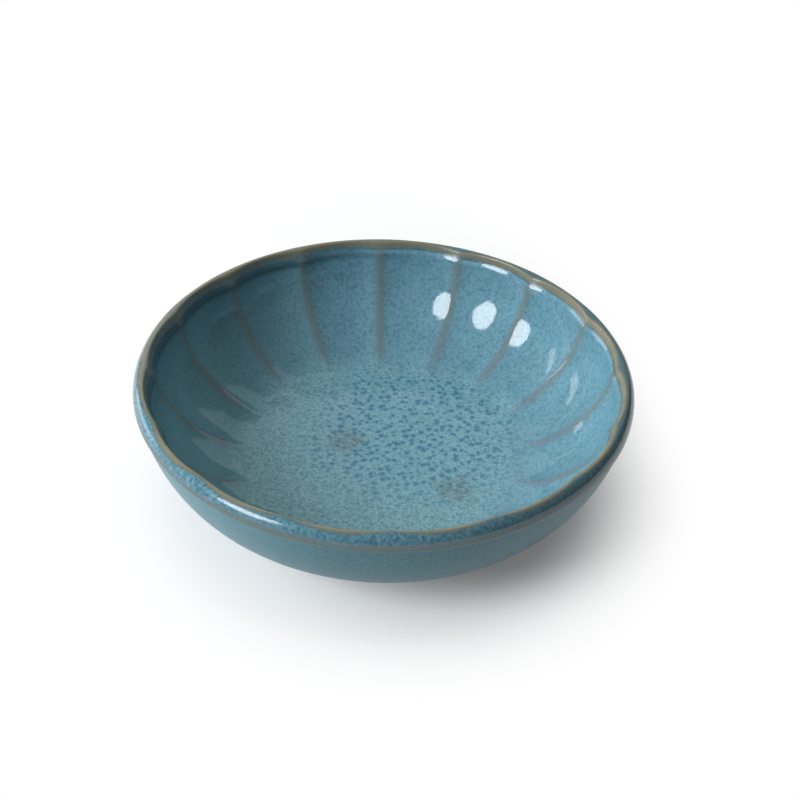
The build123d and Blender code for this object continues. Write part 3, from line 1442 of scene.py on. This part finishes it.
@dataclass(frozen=True)
class Dish:
    """The dish: a clay body and its coats of glaze, each in the place of its CAD node."""

    sizes: DishSizes = DishSizes()
    clay: ClayFinish = ClayFinish()
    inside: InsideFinish = InsideFinish()
    lip: LipFinish = LipFinish()
    outside: OutsideFinish = OutsideFinish()
    floor_rings: int = 8
    inner_steps: int = 72
    inner_back_steps: int = 24
    lip_steps: int = 20
    lip_back_steps: int = 8
    lip_line_steps: int = 4
    outer_steps: int = 40
    outer_back_steps: int = 12
    outer_bed_steps: int = 16
    crest_steps: int = 14
    round_steps: int = 6
    outer_columns: int = 20
    base_columns: int = 12

    @property
    def form(self) -> DishForm:
        """Lines of the dish's surface."""
        return DishForm(self.sizes)

    def build(self) -> None:
        """Builds and dresses all pieces."""
        turning = FlutedTurning()
        outside = self.outside.make(self.sizes)
        for piece, material in (
            (self.clay_piece(), self.clay.make(self.sizes)),
            (self.inner_piece(), self.inside.make(self.sizes)),
            (self.lip_piece(), self.lip.make(self.sizes)),
            (self.outer_piece(), outside),
            (self.base_piece(), outside),
        ):
            piece.build(turning, material)

    def disc(self, reach: float, height: float) -> list[Point]:
        """Traces a flat disc from the axis outwards."""
        return [(reach * n / self.floor_rings, height) for n in range(self.floor_rings + 1)]

    def floor(self, depth: float) -> list[Point]:
        """Traces the floor inside, at a depth below its fired surface, from the axis outwards."""
        return self.disc(self.sizes.scoop_radius, self.sizes.floor_line - depth)

    def inner_back(self) -> list[Point]:
        """Traces the face between the clay and the coat inside, in a valley, from the floor upwards."""
        return self.form.inner_wall(self.sizes.glaze, self.inner_back_steps)

    def inner_piece(self) -> Piece:
        """Gives the coat on the fluted inside and the floor."""
        section = Section(self.sizes).turn(self.floor(0)).flute(self.form.inner_wall(0, self.inner_steps))
        section.flute(self.inner_back()[::-1]).turn(self.floor(self.sizes.glaze)[::-1])
        return Piece("inner_glaze_coat", "inner_glaze", "inner_teal_glaze", section)

    def lip_piece(self) -> Piece:
        """Gives the coat on the rolled lip, a closed ring."""
        front = [self.form.lip(0, side, self.lip_steps) for side in Side]
        back = [self.form.lip(self.sizes.glaze, side, self.lip_back_steps)[::-1] for side in Side]
        section = Section(self.sizes).pair(*front).pair(*back).turn(front[0][:1])
        return Piece("lip_glaze_coat", "lip_glaze", "lip_blue_glaze", section)

    def outer_piece(self) -> Piece:
        """Gives the coat on the wall outside, a closed ring."""
        front = self.form.outer_wall(0, self.outer_steps)
        back = self.form.outer_wall(self.sizes.glaze, self.outer_back_steps)[::-1]
        section = Section(self.sizes).turn(front).turn(back).turn(front[:1])
        return Piece("outer_glaze_coat", "outer_glaze", "outer_teal_glaze", section, self.outer_columns)

    def base_piece(self) -> Piece:
        """Gives the coat in the recess inside the foot ring, a disc."""
        s = self.sizes
        under = self.disc(s.base_glaze_radius, s.recess_depth)
        bed = self.disc(s.base_glaze_radius, s.recess_depth + s.glaze)
        section = Section(s).turn(under).turn(bed[::-1])
        return Piece("base_glaze_coat", "base_glaze", "base_teal_glaze", section, self.base_columns)

    def foot(self) -> list[Point]:
        """Traces the bare foot ring.

        Returns:
            Points from the coat in the recess round the foot to the coat outside.
        """
        s = self.sizes
        inner_foot = s.foot_radius - s.foot_width
        corners = [
            (s.base_glaze_radius, s.recess_depth, 0.0),
            (inner_foot - s.foot_lean, s.recess_depth, s.recess_round),
            (inner_foot, 0.0, s.foot_round),
            (s.foot_radius, 0.0, s.foot_round),
            (s.foot_radius + s.foot_lean, s.foot_height, s.foot_blend),
            (*self.form.outer_wall(0, self.outer_steps)[0], 0.0),
        ]
        return rounded(corners, self.round_steps)

    def lip_line(self) -> list[Point]:
        """Traces the bare line along the lip's outermost edge.

        Returns:
            Points from the coat outside up to the coat on the lip.
        """
        form, s, steps = self.form, self.sizes, self.lip_line_steps
        low, high = form.lip_turn(0, s.lip_line_low), form.lip_turn(0, s.lip_line_high)
        return [form.lip_point(0, low + (high - low) * n / steps) for n in range(steps + 1)]

    def clay_piece(self) -> Piece:
        """Gives the clay body, bare on the foot and flush with the coats along their lines."""
        s, form = self.sizes, self.form
        ceiling = s.recess_depth + s.glaze
        section = Section(s).turn([(0.0, ceiling), (s.base_glaze_radius, ceiling)])
        section.turn(self.foot()).turn(form.outer_wall(s.glaze, self.outer_bed_steps)).turn(self.lip_line())
        section.pair(*(form.lip(s.glaze, side, self.lip_back_steps) for side in Side))
        section.pair(*(form.crest(side, self.crest_steps) for side in Side))
        section.flute(self.inner_back()[::-1]).turn(self.floor(s.glaze)[::-1])
        return Piece("clay_body", "stoneware_body", "bare_stoneware", section)


class LampShape(Enum):
    """Outline of a lamp, by Blender's names."""

    RECTANGLE = "RECTANGLE"
    ELLIPSE = "ELLIPSE"


@dataclass(frozen=True)
class Lamp:
    """A soft lamp one metre from the dish, by its angles in degrees, sizes in metres and power in watts."""

    name: str
    turn: float
    rise: float
    width: float
    height: float
    power: float
    shape: LampShape = LampShape.RECTANGLE
    mirrored: bool = False
    tint: Colour = (1.0, 1.0, 1.0)

    def hang(self) -> None:
        """Adds the lamp, facing the dish; an even fill isn't mirrored in the glaze."""
        data = bpy.data.lights.new(self.name, "AREA")
        data.shape = self.shape.value
        data.size = self.width
        data.size_y = self.height
        data.energy = self.power
        data.color = self.tint
        lamp = placed(self.name, data)
        lamp.location = direction(self.turn, self.rise)
        lamp.rotation_euler = lamp.location.to_track_quat("Z", "Y").to_euler()
        lamp.visible_glossy = self.mirrored


@dataclass(frozen=True)
class Studio:
    """Plain white table, a window at the left, soft light all round, and the camera."""

    table_size: float = 4.0
    table_colour: tuple[float, float, float, float] = (0.9, 0.9, 0.9, 1.0)
    white_x: float = 0.002
    white_back: float = 0.5
    white_span: Span = (0.04, 0.072)
    white_share: Span = (0.13, 1.0)
    sky_colour: tuple[float, float, float, float] = (0.92, 0.96, 1.0, 1.0)
    sky_strength: float = 0.09
    lamps: tuple[Lamp, ...] = (
        Lamp("window", -150.0, 33.0, 0.43, 0.51, 6.8, LampShape.ELLIPSE, True, (0.92, 0.95, 1.0)),
        Lamp("side_light", 184.0, 27.0, 1.1, 0.6, 8.2),
        Lamp("top_light", 80.0, 80.0, 0.7, 0.7, 3.5, tint=(1.0, 0.98, 0.9)),
        Lamp("far_strip", 150.0, 11.0, 0.42, 0.34, 1.4, mirrored=True),
        Lamp("back_panel", 80.0, 32.0, 1.3, 0.75, 1.9, mirrored=True, tint=(0.72, 0.94, 1.0)),
    )
    camera_turn: float = -92.29
    camera_rise: float = 37.91
    camera_roll: float = 1.65
    camera_distance: float = 0.2992
    aim_height: float = 0.02157
    lens: float = 60.1
    sensor: float = 36.0
    nearest: float = 0.01
    shift_x: float = 0.02035
    shift_y: float = -0.0053

    def build(self) -> None:
        """Makes the table, the light and the camera."""
        self.table()
        self.sky()
        for lamp in self.lamps:
            lamp.hang()
        self.camera()

    def table(self) -> None:
        """Lays a white table that keeps the dish's shadow."""
        half = self.table_size / 2
        corners = [(-half, -half, 0.0), (half, -half, 0.0), (half, half, 0.0), (-half, half, 0.0)]
        mesh = bpy.data.meshes.new("table")
        mesh.from_pydata(corners, [], [(0, 1, 2, 3)])
        mesh.materials.append(self.table_finish())
        table = placed("table", mesh)

    def table_finish(self) -> bpy.types.Material:
        """Makes a matt white that turns plain white away from the dish, where it is seen or mirrored.

        Returns:
            The material.
        """
        material = bpy.data.materials.new("white_table")
        graph = Graph(emptied(material))
        x, y, _ = graph.split(graph.node("ShaderNodeTexCoord").out("Object"))
        north = graph.math("MINIMUM", y, y * self.white_back)
        away = graph.smooth(graph.length(x - self.white_x, north), *self.white_span)
        rays = graph.node("ShaderNodeLightPath")
        seen = graph.most(*(rays.out(f"Is {kind} Ray") for kind in ("Camera", "Glossy", "Transmission")))
        matt = graph.node("ShaderNodeBsdfDiffuse", inputs={"Color": self.table_colour})
        white = graph.node("ShaderNodeEmission", inputs={"Color": WHITE, "Strength": 1.0})
        share = ease(self.white_share, away) * seen
        mixed = graph.node("ShaderNodeMixShader", inputs={0: share, 1: matt, 2: white})
        graph.node("ShaderNodeOutputMaterial", inputs={"Surface": mixed})
        return material

    def sky(self) -> None:
        """Sets an even soft light from all sides, which the camera sees as plain white beyond the table."""
        world = bpy.data.worlds.new("studio")
        graph = Graph(emptied(world))
        soft = {"Color": self.sky_colour, "Strength": self.sky_strength}
        light = graph.node("ShaderNodeBackground", inputs=soft)
        white = graph.node("ShaderNodeBackground", inputs={"Color": WHITE, "Strength": 1.0})
        seen = graph.node("ShaderNodeLightPath").out("Is Camera Ray")
        mixed = graph.node("ShaderNodeMixShader", inputs={0: seen, 1: light, 2: white})
        graph.node("ShaderNodeOutputWorld", inputs={"Surface": mixed})
        bpy.context.scene.world = world

    def camera(self) -> None:
        """Sets up the camera at the photograph's viewing angle."""
        data = bpy.data.cameras.new("camera")
        data.lens = self.lens
        data.sensor_width = self.sensor
        data.shift_x = self.shift_x
        data.shift_y = self.shift_y
        data.clip_start = self.nearest
        back = direction(self.camera_turn, self.camera_rise)
        level = Vector((0, 0, 1)).cross(back).normalized()
        roll = math.radians(self.camera_roll)
        right = level * math.cos(roll) + back.cross(level) * math.sin(roll)
        axes = Matrix((right, back.cross(right), back)).transposed()
        place = Vector((0, 0, self.aim_height)) + back * self.camera_distance
        camera = placed("camera", data)
        camera.matrix_world = Matrix.Translation(place) @ axes.to_4x4()
        bpy.context.scene.camera = camera


def main() -> None:
    """Builds the dish and its studio."""
    logging.basicConfig(level=logging.INFO, format="%(message)s")
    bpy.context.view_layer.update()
    bpy.context.scene.view_settings.view_transform = "Standard"
    Dish().build()
    Studio().build()


if __name__ == "__main__":
    main()
